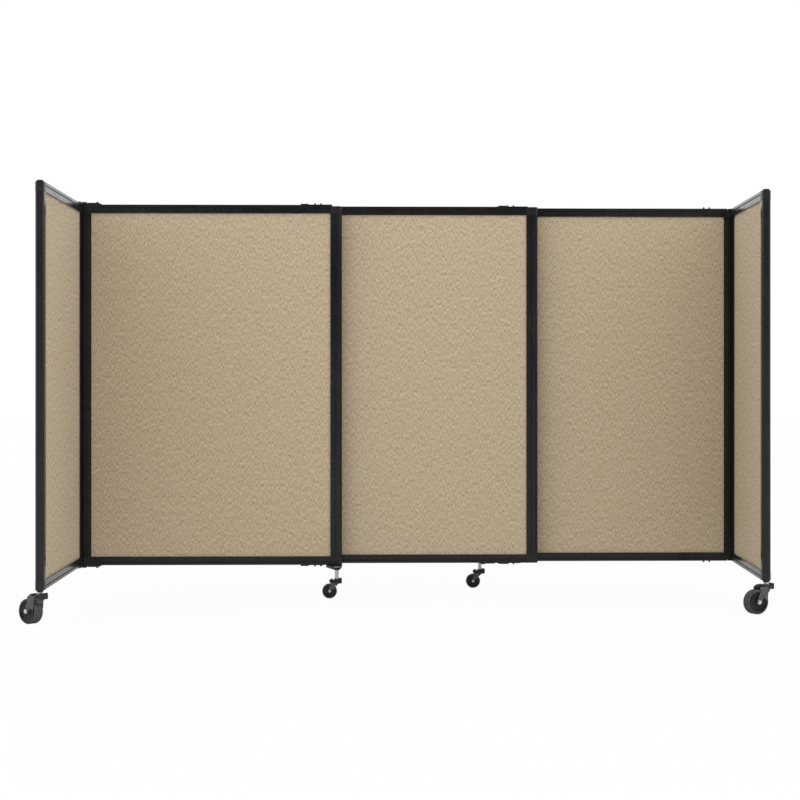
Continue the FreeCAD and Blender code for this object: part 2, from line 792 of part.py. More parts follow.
def build_casters():
    add_caster("left_wing_caster", big_caster, wing_stem(), left_wing_caster_place,
               left_wing_caster_heading)
    add_caster("right_wing_caster", big_caster, wing_stem(), right_wing_caster_place,
               right_wing_caster_heading)
    add_caster("left_panel_caster", small_caster, bracket_stem(), left_panel_caster_place,
               left_panel_caster_heading)
    add_caster("right_panel_caster", small_caster, bracket_stem(), right_panel_caster_place,
               right_panel_caster_heading)
    front = mirrored_left(caster_bracket(-1, left_caster_inset), panel_width)
    back = caster_bracket(1, right_caster_inset)
    nodes["left_panel_caster_bracket"] = placed([front], 0, left_panel_place)
    nodes["right_panel_caster_bracket"] = placed([back], 0, right_panel_place)


def plan_centre():
    """The middle of the whole part's footprint, which becomes the origin."""
    everything = Part.makeCompound([solid for solids in nodes.values() for solid in solids])
    limits = everything.optimalBoundingBox()
    return Vector((limits.XMin + limits.XMax) / 2, (limits.YMin + limits.YMax) / 2, 0)


def write_parts():
    os.makedirs("parts", exist_ok=True)
    for name, solids in nodes.items():
        shape = solids[0] if len(solids) == 1 else Part.makeCompound(solids)
        shape.exportStep("parts/" + name + ".step")


build_panels()
build_hinges()
build_slides()
build_fasteners()
drill_panels()
build_casters()
centre = plan_centre()
for node_solids in nodes.values():
    for node_solid in node_solids:
        node_solid.translate(centre * -1)
write_parts()
print("nodes", len(nodes), "centre", round(centre.x, 3), round(centre.y, 3))
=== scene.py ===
import json
import math

import bmesh
import bpy
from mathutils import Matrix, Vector, noise


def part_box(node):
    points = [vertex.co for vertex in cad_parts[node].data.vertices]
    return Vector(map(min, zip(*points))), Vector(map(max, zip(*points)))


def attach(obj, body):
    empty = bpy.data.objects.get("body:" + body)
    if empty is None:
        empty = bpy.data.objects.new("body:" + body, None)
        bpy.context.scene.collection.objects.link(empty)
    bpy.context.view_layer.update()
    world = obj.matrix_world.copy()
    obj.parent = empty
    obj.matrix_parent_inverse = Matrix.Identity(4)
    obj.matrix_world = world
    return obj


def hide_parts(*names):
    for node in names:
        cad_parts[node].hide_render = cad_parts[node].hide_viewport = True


bl_info = {
    "name": "Rolling fabric partition",
    "version": (1, 0, 0),
    "blender": (4, 5, 0),
    "location": "View3D > Sidebar > Partition",
    "description": "Dresses the sliding and folding panels, their cloth, fittings and casters",
    "category": "Object",
}

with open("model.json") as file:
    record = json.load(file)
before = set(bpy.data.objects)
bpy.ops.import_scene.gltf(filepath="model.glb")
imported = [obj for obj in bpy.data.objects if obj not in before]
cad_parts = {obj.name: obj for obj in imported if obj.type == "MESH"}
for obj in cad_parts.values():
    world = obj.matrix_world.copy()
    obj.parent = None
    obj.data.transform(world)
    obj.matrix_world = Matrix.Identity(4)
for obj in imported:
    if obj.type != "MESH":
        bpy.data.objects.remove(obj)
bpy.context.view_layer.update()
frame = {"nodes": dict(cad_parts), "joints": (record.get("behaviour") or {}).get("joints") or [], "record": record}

PANELS = ("left_panel", "middle_panel", "right_panel", "left_wing", "right_wing")
CASTERS = ("left_wing_caster", "right_wing_caster", "left_panel_caster", "right_panel_caster")
UP = Vector((0, 0, 1))
joint_of = {joint["name"]: joint for joint in frame["joints"]}
body_of_node = {node: body for body, nodes in frame["record"]["behaviour"]["bodies"].items()
                for node in nodes}

# Cloth. All lengths in this file are in metres.
SHEET_COLUMNS, SHEET_ROWS = 44, 60
TUCK_WIDTH, TUCK_DEPTH = 0.009, 0.0005
# How quickly the ripple changes across a sheet, up it, and from one sheet to the next.
RIPPLE_ACROSS, RIPPLE_UP, RIPPLE_NEXT = 3.1, 2.3, 7.7
# How far the weave moves from one sheet to the next, so that no two look alike.
WEAVE_STEP = 0.37
PANEL_CONTRAST, WING_CONTRAST = 0.094, 0.070

# Casters. Shapes are written for the wing casters, and the small ones scale them down.
BIG_WHEEL_RADIUS = 0.035
RING_PLAY = 0.0013       # between the swivel hub and the rocker's ring
RING_WALL = 0.0032       # of the rocker's ring
WHEEL_PLAY = 0.0006      # between the wheel and each arm of the fork
ARM_SHARE = 0.45         # of the fork's wall beside the wheel; its cheek is the rest
CHEEK_OVERLAP = 0.0002   # how far a cheek reaches into its arm
CHEEK_PROUD = 0.0008     # how far a cheek stands outside the solid fork
HIGH_CHEEK = 0.0094      # how far a cheek rises above the shoulder beside the ring,
LOW_CHEEK = 0.0022       # and under it
SHOULDER_DROP = 0.0028   # from the rocker's lowest place to the fork's shoulder
AXLE_BOSS = 0.0074       # radius of an arm's end round the axle
# How near two places count as equally high, or as equally far across.
SAME_HEIGHT = 1e-5
SAME_SIDE = 1e-7
# Steps round each kind of curve.
OUTLINE_STEPS = 40
ROUNDING_STEPS = 3
CROWN_STEPS = 8
WHEEL_STEPS = 72
RING_STEPS = 48
NUT_STEPS = 36
ROD_STEPS = 32
SHAFT_STEPS = 24
HEXAGON = 6

# The tread's side, from its inner edge outwards: how far in it lies from the wheel's side,
# and its share of the wheel's radius.
TREAD_SIDE = ((0.0030, 0.80), (0.0006, 0.86))
TREAD_CROWN = 0.0045
CROWN_INSIDE = 0.999     # keeps the crown just inside the wheel's width
# The hub's dished face, from its rim to the axle: how far in it lies from the hub's side,
# and its share of the wheel's radius.
HUB_INSET = 0.0006
HUB_FACE = ((0.0022, 0.83), (0.0002, 0.815), (-0.0002, 0.79), (0.0006, 0.765),
            (0.0030, 0.70), (0.0016, 0.50), (0.0010, 0.42), (0.0026, 0.39),
            (0.0018, 0.30), (0, 0.27), (0, 0.12))
# An axle nut: how far it stands out from the fork, and its radius there.
AXLE_NUT = ((-0.0010, 0.0062), (0, 0.0063), (0.0014, 0.0060), (0.0023, 0.0040))
AXLE_NUT_HEIGHT, AXLE_NUT_TIP = 0.0025, 0.0001
AXLE_RADIUS = 0.0036

# Stage.
FLOOR_SIZE = 60
FLOOR_SHADE = 0.82
# The floor's grey as gloss sees it: painted shade, so that the rails reflect a darker floor.
FLOOR_PAINTED_SHADE_IN_GLOSS = 0.62
FLOOR_GLOW = 0.94        # the share of white that the camera sees over the floor's shade
STRIPS = {"left_strip": (-2.4, -7.0, 1.75), "right_strip": (2.7, -7.0, 1.75)}
STRIP_WIDTH, STRIP_HEIGHT = 0.35, 3.2
SENSOR_WIDTH = 36
VIEW_LIMIT = 100


class ClothSettings(bpy.types.PropertyGroup):
    """The woven cloth on the panels."""
    light_yarn: bpy.props.FloatVectorProperty(
        name="Light yarn", description="Colour of the lighter yarns", subtype="COLOR",
        size=4, min=0, max=1, default=(0.590, 0.482, 0.336, 1))
    dark_yarn: bpy.props.FloatVectorProperty(
        name="Dark yarn", description="Colour of the darker yarns", subtype="COLOR",
        size=4, min=0, max=1, default=(0.296, 0.238, 0.162, 1))
    fleck: bpy.props.FloatVectorProperty(
        name="Fleck", description="Colour of the sparse dark flecks", subtype="COLOR",
        size=4, min=0, max=1, default=(0.200, 0.150, 0.100, 1))
    thread_pitch: bpy.props.FloatProperty(
        name="Thread pitch", description="Distance from one thread to the next",
        default=0.0011, min=0.0003, max=0.005, unit="LENGTH")
    slub_width: bpy.props.FloatProperty(
        name="Slub width", description="Width of a thick place in an upright yarn",
        default=0.0018, min=0.0005, max=0.02, unit="LENGTH")
    slub_length: bpy.props.FloatProperty(
        name="Slub length", description="Length of a thick place in an upright yarn",
        default=0.0094, min=0.005, max=0.3, unit="LENGTH")
    wing_spread: bpy.props.FloatProperty(
        name="Wing spread", description="How many times wider the wings' slubs are",
        default=2.6, min=1)
    ripple: bpy.props.FloatProperty(
        name="Ripple", description="How far the stretched cloth strays from flat",
        default=0.00022, min=0, max=0.002, unit="LENGTH")


class FrameSettings(bpy.types.PropertyGroup):
    """The coated extrusions, their plates and the moulded corners."""
    coat: bpy.props.FloatVectorProperty(
        name="Coat", description="Colour of the satin powder coat", subtype="COLOR",
        size=4, min=0, max=1, default=(0.0065, 0.0065, 0.0072, 1))
    moulding: bpy.props.FloatVectorProperty(
        name="Moulding", description="Colour of the moulded corner blocks", subtype="COLOR",
        size=4, min=0, max=1, default=(0.0085, 0.0085, 0.0092, 1))
    edge_radius: bpy.props.FloatProperty(
        name="Edge radius", description="Roundness of the extrusions' edges",
        default=0.0013, min=0, max=0.003, unit="LENGTH")


class CasterSettings(bpy.types.PropertyGroup):
    """The casters' plastic, tread and bright metal."""
    nylon: bpy.props.FloatVectorProperty(
        name="Nylon", description="Colour of the fork", subtype="COLOR",
        size=4, min=0, max=1, default=(0.045, 0.045, 0.046, 1))
    tread: bpy.props.FloatVectorProperty(
        name="Tread", description="Colour of the wheel's tread", subtype="COLOR",
        size=4, min=0, max=1, default=(0.042, 0.042, 0.0425, 1))
    zinc: bpy.props.FloatVectorProperty(
        name="Zinc", description="Colour of the bright plated metal", subtype="COLOR",
        size=4, min=0, max=1, default=(0.90, 0.90, 0.91, 1))


class StageSettings(bpy.types.PropertyGroup):
    """The light and the camera."""
    lens: bpy.props.FloatProperty(
        name="Lens", description="Focal length of the camera",
        default=91.62, min=20, max=300, unit="CAMERA")
    drop: bpy.props.FloatProperty(
        name="Drop", description="How far the picture is shifted, in picture widths",
        default=-0.0279, min=-0.2, max=0.2)
    turn: bpy.props.FloatProperty(
        name="Turn", description="How far the camera is turned towards the right",
        default=0.01996, min=-1, max=1, subtype="ANGLE")
    place: bpy.props.FloatVectorProperty(
        name="Place", description="Where the camera stands", subtype="TRANSLATION",
        size=3, default=(-0.1342, -6.0674, 0.6761), unit="LENGTH")
    ambient: bpy.props.FloatProperty(
        name="Ambient", description="Strength of the even light from the front",
        default=1.49, min=0, max=3)
    key: bpy.props.FloatProperty(
        name="Key", description="Power of each tall strip lamp", default=9, min=0, max=500,
        unit="POWER")
    dim_front: bpy.props.FloatProperty(
        name="Dim front", description="How bright gloss shows the room behind the camera",
        default=0.10, min=0, max=1)


class Signal:
    """A node's socket in an expression; each operator adds one Math node."""

    def __init__(self, work, socket):
        self.work = work
        self.socket = socket

    def math(self, operation, *values):
        """A Math node on one value or two."""
        return self.work.node("ShaderNodeMath", {"operation": operation},
                              dict(enumerate(values)))

    def sine(self):
        """The sine of an angle."""
        return self.math("SINE", self)

    def __add__(self, other):
        return self.math("ADD", self, other)

    def __radd__(self, other):
        return self.math("ADD", other, self)

    def __sub__(self, other):
        return self.math("SUBTRACT", self, other)

    def __rsub__(self, other):
        return self.math("SUBTRACT", other, self)

    def __mul__(self, other):
        return self.math("MULTIPLY", self, other)

    def __rmul__(self, other):
        return self.math("MULTIPLY", other, self)


class NodeWork:
    """A node tree whose nodes are written as Python expressions."""

    def __init__(self, tree):
        self.tree = tree

    def node(self, kind, settings, values, output=0):
        """Add a node: its settings first, then the values or links of its sockets."""
        made = self.tree.nodes.new(kind)
        for key, value in settings.items():
            if key == "stops":
                elements = made.color_ramp.elements
                while len(elements) < len(value):
                    elements.new(0.5)
                for element, (place, level) in zip(elements, value):
                    element.position = place
                    element.color = grey(level)
            else:
                setattr(made, key, value)
        for key, value in values.items():
            self.feed(made.inputs[key], value)
        return Signal(self, made.outputs[output])

    def feed(self, socket, value):
        """Link an expression to a socket, or set the socket's own value."""
        if isinstance(value, Signal):
            self.tree.links.new(value.socket, socket)
        else:
            socket.default_value = value

    def of_three(self, vector, output):
        """One of a vector's three values."""
        return self.node("ShaderNodeSeparateXYZ", {}, {0: vector}, output=output)

    def ray(self, kind):
        """One for rays of this kind, and zero for the others."""
        return self.node("ShaderNodeLightPath", {}, {}, output="Is %s Ray" % kind)

    def backdrop_seen(self):
        """One where the camera, gloss or glass looks at the backdrop, and zero elsewhere."""
        return self.ray("Camera") + self.ray("Glossy") + self.ray("Transmission")

    def stretched(self, place, scale):
        """A coordinate multiplied along each axis."""
        return self.node("ShaderNodeVectorMath", {"operation": "MULTIPLY"},
                         {0: place, 1: scale})

    def grain(self, place, cells, detail=1.0, roughness=0.5):
        """Noise with its own number of cells to the metre along each axis."""
        return self.node("ShaderNodeTexNoise", {"noise_dimensions": "3D"},
                         {"Vector": self.stretched(place, cells), "Scale": 1.0,
                          "Detail": detail, "Roughness": roughness})

    def ramp(self, factor, *stops):
        """A value remapped through pairs of place and level."""
        return self.node("ShaderNodeValToRGB", {"stops": stops}, {"Fac": factor})

    def shade(self, factor, first, second):
        """One colour blended into another."""
        return self.node("ShaderNodeMix", {"data_type": "RGBA"},
                         {0: factor, 6: first, 7: second}, output=2)

    def rounded(self, radius):
        """The surface's direction with its sharp edges softened."""
        return self.node("ShaderNodeBevel", {"samples": 4}, {"Radius": radius})

    def relief(self, height, distance, strength, normal=None):
        """The surface's direction, roughened by a height."""
        values = {"Strength": strength, "Distance": distance, "Height": height}
        if normal:
            values["Normal"] = normal
        return self.node("ShaderNodeBump", {}, values)


class Finish(NodeWork):
    """A material built round one shader."""

    def __init__(self, name, **inputs):
        self.material = bpy.data.materials.new(name)
        self.material.use_nodes = True
        super().__init__(self.material.node_tree)
        self.shader = self.tree.nodes["Principled BSDF"]
        self.surface(**inputs)

    def surface(self, **inputs):
        """Set or link the shader's sockets, named with a low line for each space."""
        for socket, value in inputs.items():
            self.feed(self.shader.inputs[socket.replace("_", " ")], value)

    def own_place(self):
        """The place on the piece itself."""
        return self.node("ShaderNodeTexCoord", {}, {}, output="Object")


def grey(level):
    """A colour without a hue."""
    return (level, level, level, 1)


def times(colour, factor):
    """A colour made paler or darker by a factor."""
    return tuple(channel * factor for channel in colour[:3]) + (1,)


def cloth_finish(settings, name, spread, contrast):
    """Plain woven cloth with upright slubs, laid out by the sheets' own coordinates."""
    cloth = Finish(name, Roughness=0.92, Sheen_Weight=0.08, Sheen_Roughness=0.5,
                   Specular_IOR_Level=0.2)
    place = cloth.node("ShaderNodeUVMap", {"uv_map": "cloth"}, {})
    # Cells to the metre across the sheet and up it. The slender slubs are a little narrower
    # and longer than the stout ones.
    across, upright = 1 / (settings.slub_width * spread), 1 / settings.slub_length
    stout = cloth.grain(place, (across, upright, 1))
    slender = cloth.grain(place, (across * 1.23, upright * 0.84, 1))
    slub = stout * 0.55 + slender * 0.45
    yarn = cloth.grain(place, (820, 46, 1), detail=1.5)
    cross = cloth.grain(place, (60, 760, 1))
    fleck = cloth.ramp(cloth.grain(place, (330, 150, 1)), (0.69, 0), (0.76, 1))
    tone = slub * 0.78 + yarn * 0.14 + cross * 0.08
    tone = cloth.ramp(tone, (0.5 - contrast, 0), (0.5 + contrast, 1))
    colour = cloth.shade(tone, settings.dark_yarn, settings.light_yarn)
    colour = cloth.shade(fleck * 0.55, colour, settings.fleck)
    turns = math.tau / settings.thread_pitch
    threads = cloth.stretched(place, (turns, turns, 1))
    weft, warp = [cloth.of_three(threads, axis).sine() for axis in (0, 1)]
    weave = weft * warp * 0.5 + slub * 0.9 + yarn * 0.8
    cloth.surface(Base_Color=colour,
                  Normal=cloth.relief(weave, distance=0.00022, strength=0.55))
    return cloth.material


def coat_finish(settings, name, roughness):
    """Satin black powder coat with a faint orange peel and rubbed patches."""
    coat = Finish(name, Specular_IOR_Level=0.4)
    place = coat.own_place()
    rub = coat.grain(place, (7, 7, 7), detail=4.0, roughness=0.6)
    dust = coat.grain(place, (95, 95, 95), detail=2.0)
    peel = coat.grain(place, (1300, 1300, 1300))
    worn = coat.ramp(rub * 0.6 + dust * 0.4, (0.42, 0), (0.66, 1))
    # Noise lies about one half, so half of its share comes off the roughness.
    coat.surface(
        Base_Color=coat.shade(worn, settings.coat, times(settings.coat, 1.9)),
        Roughness=rub * 0.14 + dust * 0.08 + (roughness - 0.11),
        Normal=coat.relief(peel, distance=0.00003, strength=0.35,
                           normal=coat.rounded(settings.edge_radius)))
    return coat.material


def moulding_finish(settings, name, colour, roughness, shine=0.45):
    """Moulded black plastic with a fine grain."""
    plastic = Finish(name, Specular_IOR_Level=shine)
    place = plastic.own_place()
    wear = plastic.grain(place, (24, 24, 24), detail=3.0)
    grain = plastic.grain(place, (1700, 1700, 1700))
    worn = plastic.ramp(wear, (0.4, 0), (0.7, 1))
    plastic.surface(
        Base_Color=plastic.shade(worn, colour, times(colour, 1.7)),
        Roughness=wear * 0.2 + (roughness - 0.1),
        Normal=plastic.relief(grain, distance=0.00004, strength=0.4,
                              normal=plastic.rounded(settings.edge_radius)))
    return plastic.material


def zinc_finish(settings):
    """Bright plated steel with faint turning marks and small dull spots."""
    zinc = Finish("bright_zinc", Metallic=1.0)
    place = zinc.own_place()
    turning = zinc.grain(place, (60, 60, 2600))
    dull = zinc.grain(place, (240, 240, 240), detail=2.0)
    tarnish = zinc.ramp(dull, (0.45, 0), (0.75, 1))
    zinc.surface(
        Base_Color=zinc.shade(tarnish, settings.zinc, times(settings.zinc, 0.72)),
        Roughness=turning * 0.12 + dull * 0.12 + 0.36,
        Normal=zinc.relief(turning, distance=0.00003, strength=0.3))
    return zinc.material


def board_finish():
    """Plain fibre board, seen only where a panel is opened."""
    board = Finish("fibre_board", Roughness=0.9)
    fibre = board.grain(board.own_place(), (350, 350, 90), detail=4.0)
    board.surface(Base_Color=board.shade(fibre, (0.27, 0.20, 0.13, 1), (0.45, 0.36, 0.25, 1)),
                  Normal=board.relief(fibre, distance=0.0003, strength=0.3))
    return board.material


def dress(nodes, material):
    """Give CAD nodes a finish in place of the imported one."""
    for node in nodes:
        slots = frame["nodes"][node].data.materials
        slots.clear()
        slots.append(material)


def nodes_ending(*endings):
    """The CAD nodes whose names end in one of these ways."""
    return [node for node in frame["nodes"] if node.endswith(endings)]


def new_piece(name, vertices, faces, material, body, slot, smooth=True):
    """A mesh in the object's frame that rides on a body."""
    mesh = bpy.data.meshes.new(name)
    mesh.from_pydata([tuple(vertex) for vertex in vertices], [], faces)
    mesh.validate()
    mesh.materials.append(material)
    mesh.polygons.foreach_set("use_smooth", [smooth] * len(mesh.polygons))
    mesh.update()
    piece = bpy.data.objects.new(name, mesh)
    bpy.context.scene.collection.objects.link(piece)
    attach(piece, body)
    return piece


def width_direction(panel):
    """The direction along a panel: wings run from their pivot to their caster."""
    if panel.endswith("_panel"):
        return Vector((1, 0, 0))
    start = Vector(joint_of[panel + "_pivot"]["pos_m"])
    end = Vector(joint_of[panel + "_caster_swivel"]["pos_m"])
    return Vector((end.x - start.x, end.y - start.y, 0)).normalized()


def node_span(node, direction):
    """The lowest and highest place of a CAD node along a direction."""
    places = [vertex.co.dot(direction) for vertex in frame["nodes"][node].data.vertices]
    return min(places), max(places)


def node_width(node, direction):
    """How wide a CAD node is along a direction."""
    low, high = node_span(node, direction)
    return high - low


def cloth_sheet(panel, side, material, settings, seed):
    """One face's cloth, drawn tight over the board and tucked into the frame."""
    node = panel + "_fabric"
    along = width_direction(panel)
    outward = Vector((along.y, -along.x, 0)) * side
    start, end = node_span(node, along)
    low, high = node_span(node, UP)
    face = node_span(node, outward)[1]
    vertices, places = [], []
    for row in range(SHEET_ROWS + 1):
        for column in range(SHEET_COLUMNS + 1):
            across = start + (end - start) * column / SHEET_COLUMNS
            height = low + (high - low) * row / SHEET_ROWS
            edge = min(across - start, end - across, height - low, high - height)
            wave = noise.noise(Vector((across * RIPPLE_ACROSS, height * RIPPLE_UP,
                                       seed * RIPPLE_NEXT)))
            depth = TUCK_DEPTH * max(0, 1 - edge / TUCK_WIDTH)
            depth += settings.ripple * (1 + wave) * min(1, edge / TUCK_WIDTH)
            vertices.append(along * across + outward * (face - depth) + UP * height)
            places.append((across + seed * WEAVE_STEP, height))
    faces = []
    for row in range(SHEET_ROWS):
        for column in range(SHEET_COLUMNS):
            first = row * (SHEET_COLUMNS + 1) + column
            above = first + SHEET_COLUMNS + 1
            faces.append((first, first + 1, above + 1, above)[::side])
    name = panel + ("_cloth_front" if side > 0 else "_cloth_back")
    sheet = new_piece(name, vertices, faces, material, body_of_node[node], "panel_fabric")
    layer = sheet.data.uv_layers.new(name="cloth")
    for loop in sheet.data.loops:
        layer.data[loop.index].uv = places[loop.vertex_index]
    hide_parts(node)
    end - start
    high - low


class PARTITION_OT_cloth(bpy.types.Operator):
    """Stretch the woven cloth over both faces of every panel"""
    bl_idname = "partition.cloth"
    bl_label = "Cloth"

    def execute(self, context):
        settings = context.scene.partition_cloth
        panel_cloth = cloth_finish(settings, "panel_cloth", 1, PANEL_CONTRAST)
        wing_cloth = cloth_finish(settings, "wing_cloth", settings.wing_spread,
                                  WING_CONTRAST)
        seed = 0
        for panel in PANELS:
            material = wing_cloth if panel.endswith("_wing") else panel_cloth
            for side in (1, -1):
                cloth_sheet(panel, side, material, settings, seed)
                seed += 1
        dress(nodes_ending("_board"), board_finish())
        return {"FINISHED"}


class PARTITION_OT_frames(bpy.types.Operator):
    """Finish the coated rails and posts and the moulded corner blocks"""
    bl_idname = "partition.frames"
    bl_label = "Frames"

    def execute(self, context):
        settings = context.scene.partition_frame
        dress(nodes_ending("_rails", "_posts"),
              coat_finish(settings, "satin_coat", roughness=0.22))
        dress(nodes_ending("_corners"),
              moulding_finish(settings, "corner_moulding", settings.moulding, roughness=0.36))
        return {"FINISHED"}


class PARTITION_OT_fittings(bpy.types.Operator):
    """Finish the brackets, links, glides, pins and screws"""
    bl_idname = "partition.fittings"
    bl_label = "Fittings"

    def execute(self, context):
        settings = context.scene.partition_frame
        plates = nodes_ending("_slide_brackets", "_rail_plates", "_hinge_links",
                              "_caster_bracket")
        dress(plates, coat_finish(settings, "plate_coat", roughness=0.40))
        dress(nodes_ending("_fasteners", "_hinge_pins"),
              coat_finish(settings, "black_oxide", roughness=0.30))
        dress(nodes_ending("_glides"),
              moulding_finish(settings, "glide_nylon", settings.moulding, roughness=0.40))
        return {"FINISHED"}


class CasterForm:
    """One caster's place, direction and sizes."""

    def __init__(self, name):
        self.name = name
        self.axis = Vector(joint_of[name + "_swivel"]["pos_m"])
        self.centre = Vector(joint_of[name + "_roll"]["pos_m"])
        self.base = Vector((self.axis.x, self.axis.y, 0))
        lead = Vector((self.axis.x - self.centre.x, self.axis.y - self.centre.y, 0))
        self.trail = lead.length
        self.ahead = lead.normalized()
        self.across = UP.cross(self.ahead)
        low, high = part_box(name + "_wheel")
        self.radius = (high.z - low.z) / 2
        self.scale = self.radius / BIG_WHEEL_RADIUS
        self.width = node_width(name + "_wheel", self.across)
        self.fork_width = node_width(name + "_fork", self.across)
        self.hub_top = node_span(name + "_fork", UP)[1]
        self.brake_low, self.brake_top = node_span(name + "_brake", UP)
        self.brake_back, self.brake_front = [
            place - self.axis.dot(self.ahead)
            for place in node_span(name + "_brake", self.ahead)]
        rim = [vertex.co - self.axis for vertex in frame["nodes"][name + "_fork"].data.vertices
               if abs(vertex.co.z - self.hub_top) < SAME_HEIGHT]
        self.hub_radius = max(math.hypot(place.x, place.y) for place in rim)
        self.bore = self.hub_radius + RING_PLAY
        self.ring_radius = self.bore + RING_WALL * self.scale

    def point(self, ahead, across, height):
        """A place given from the swivel axis: ahead, across and above the floor."""
        return self.base + self.ahead * ahead + self.across * across + UP * height

    def about_axle(self, profile, steps):
        """A ring about the axle, from pairs of place along it and radius."""
        return turned_about(self.centre, self.across, UP, profile, steps)

    def about_swivel(self, profile, steps):
        """A ring about the swivel axis, from pairs of height and radius."""
        return turned_about(self.base, UP, self.ahead, profile, steps)


def turned_about(origin, axis, radial, profile, steps):
    """A closed ring of sections: profile pairs are place along the axis and radius."""
    side = axis.cross(radial)
    vertices, faces = [], []
    count = len(profile)
    for step in range(steps):
        angle = math.tau * step / steps
        out = radial * math.cos(angle) + side * math.sin(angle)
        vertices += [origin + axis * along + out * radius for along, radius in profile]
        start, after = step * count, (step + 1) % steps * count
        for index in range(count - 1):
            faces.append((start + index, after + index, after + index + 1,
                          start + index + 1))
    return vertices, faces


def mirrored(profile):
    """A profile's other side, in the order that carries on from it."""
    return [(-along, radius) for along, radius in profile[::-1]]


def joined(*parts):
    """Several sets of vertices and faces as one set."""
    vertices, faces = [], []
    for some, loops in parts:
        start = len(vertices)
        vertices += some
        faces += [tuple(index + start for index in loop) for loop in loops]
    return vertices, faces


def hull_outline(circles):
    """The outline round a set of circles, as points in a plane."""
    points = set()
    for x, z, radius in circles:
        for step in range(OUTLINE_STEPS):
            angle = math.tau * step / OUTLINE_STEPS
            points.add((x + radius * math.cos(angle), z + radius * math.sin(angle)))
    points = sorted(points)

    def half(ordered):
        """The outer chain from the first point to the one before the last."""
        chain = []
        for point in ordered:
            while len(chain) > 1:
                (ax, az), (bx, bz) = chain[-2], chain[-1]
                if (bx - ax) * (point[1] - az) - (bz - az) * (point[0] - ax) > 0:
                    break
                chain.pop()
            chain.append(point)
        return chain[:-1]
    return half(points) + half(points[::-1])


def slab(form, outline, near, far, rounding):
    """A flat piece across the caster from an outline of ahead and height, edges rounded."""
    mesh = bmesh.new()
    first, last = [[mesh.verts.new(form.point(x, across, z)) for x, z in outline]
                   for across in (near, far)]
    mesh.faces.new(first)
    mesh.faces.new(last[::-1])
    for index in range(len(outline)):
        after = (index + 1) % len(outline)
        mesh.faces.new((first[after], first[index], last[index], last[after]))
    bmesh.ops.recalc_face_normals(mesh, faces=mesh.faces)
    rims = [edge for edge in mesh.edges
            if abs((edge.verts[0].co - edge.verts[1].co).dot(form.across)) < SAME_SIDE]
    bmesh.ops.bevel(mesh, geom=rims, offset=rounding, segments=ROUNDING_STEPS, profile=0.5,
                    affect="EDGES", clamp_overlap=True)
    mesh.verts.index_update()
    vertices = [vertex.co.copy() for vertex in mesh.verts]
    faces = [tuple(vertex.index for vertex in face.verts) for face in mesh.faces]
    mesh.free()
    return vertices, faces


def wheel_parts(form):
    """A rounded tread, and a hub whose dished faces have a raised rim and raised rings."""
    s = form.scale
    half = form.width / 2
    crown = TREAD_CROWN * s
    tread = [(-half + inset * s, form.radius * share) for inset, share in TREAD_SIDE]
    for step in range(CROWN_STEPS + 1):
        angle = math.pi / 2 * step / CROWN_STEPS
        tread.append((-half + crown - crown * math.cos(angle) * CROWN_INSIDE,
                      form.radius - crown + crown * math.sin(angle)))
    face = half - HUB_INSET * s
    dish = [(-face + inset * s, form.radius * share) for inset, share in HUB_FACE]
    hub = joined(form.about_axle(dish, WHEEL_STEPS),
                 form.about_axle(mirrored(dish), WHEEL_STEPS))
    return form.about_axle(tread + mirrored(tread), WHEEL_STEPS), hub


def fork_parts(form):
    """Arms down to the axle under broad rounded cheeks, and a neck up to the swivel hub."""
    s = form.scale
    outer = form.fork_width / 2
    inner = form.width / 2 + WHEEL_PLAY
    middle = inner + (outer - inner) * ARM_SHARE
    shoulder = form.brake_low - SHOULDER_DROP * s

    def plate(circles, near, far, rounding):
        """A plate round circles given by place ahead, height over the shoulder and radius."""
        outline = hull_outline([(ahead * s, shoulder + height * s, radius * s)
                                for ahead, height, radius in circles])
        return slab(form, outline, near, far, rounding * s)

    def below(*points):
        """Points given by place ahead and drop below the shoulder."""
        return [(ahead * s, shoulder - drop * s) for ahead, drop in points]

    arm = ((-0.016, -0.006, 0.006), (-0.025, -0.005, 0.006),
           (-form.trail / s, (form.radius - shoulder) / s, AXLE_BOSS))
    # Where the rocker's ring turns between the cheeks, they reach up beside it.
    rise = HIGH_CHEEK if form.ring_radius < middle else LOW_CHEEK
    cheek = ((-0.011, rise - 0.0054, 0.0054), (-0.025, rise - 0.0062, 0.0062),
             (-0.024, -0.008, 0.0062), (-0.012, -0.025, 0.0046))
    parts = []
    for side in (-1, 1):
        parts.append(plate(arm, side * inner, side * middle, 0.0006))
        parts.append(plate(cheek, side * (middle - CHEEK_OVERLAP),
                           side * (outer + CHEEK_PROUD * s), 0.0013))
    neck_top = shoulder - 0.0012
    neck = [(-0.020 * s, neck_top), (0.006 * s, neck_top)] + below(
        (0.006, 0.006), (-0.001, 0.015), (-0.006, 0.012), (-0.012, 0.0072), (-0.020, 0.003))
    neck_half = form.hub_radius * 0.7
    parts.append(slab(form, neck, -neck_half, neck_half, 0.0012 * s))
    bridge = below((-0.020, 0.0015), (-0.0085, 0.0015), (-0.0085, 0.010), (-0.012, 0.0072),
                   (-0.020, 0.0032))
    parts.append(slab(form, bridge, -middle, middle, 0.0008 * s))
    radius, top = form.hub_radius, form.hub_top
    foot = shoulder - 0.004 * s
    collar = [(foot, 0.001), (foot, radius * 0.97), (shoulder, radius),
              (top - 0.002 * s, radius * 0.97), (top, radius * 0.86), (top, 0.0066)]
    parts.append(form.about_swivel(collar, RING_STEPS))
    return joined(*parts)


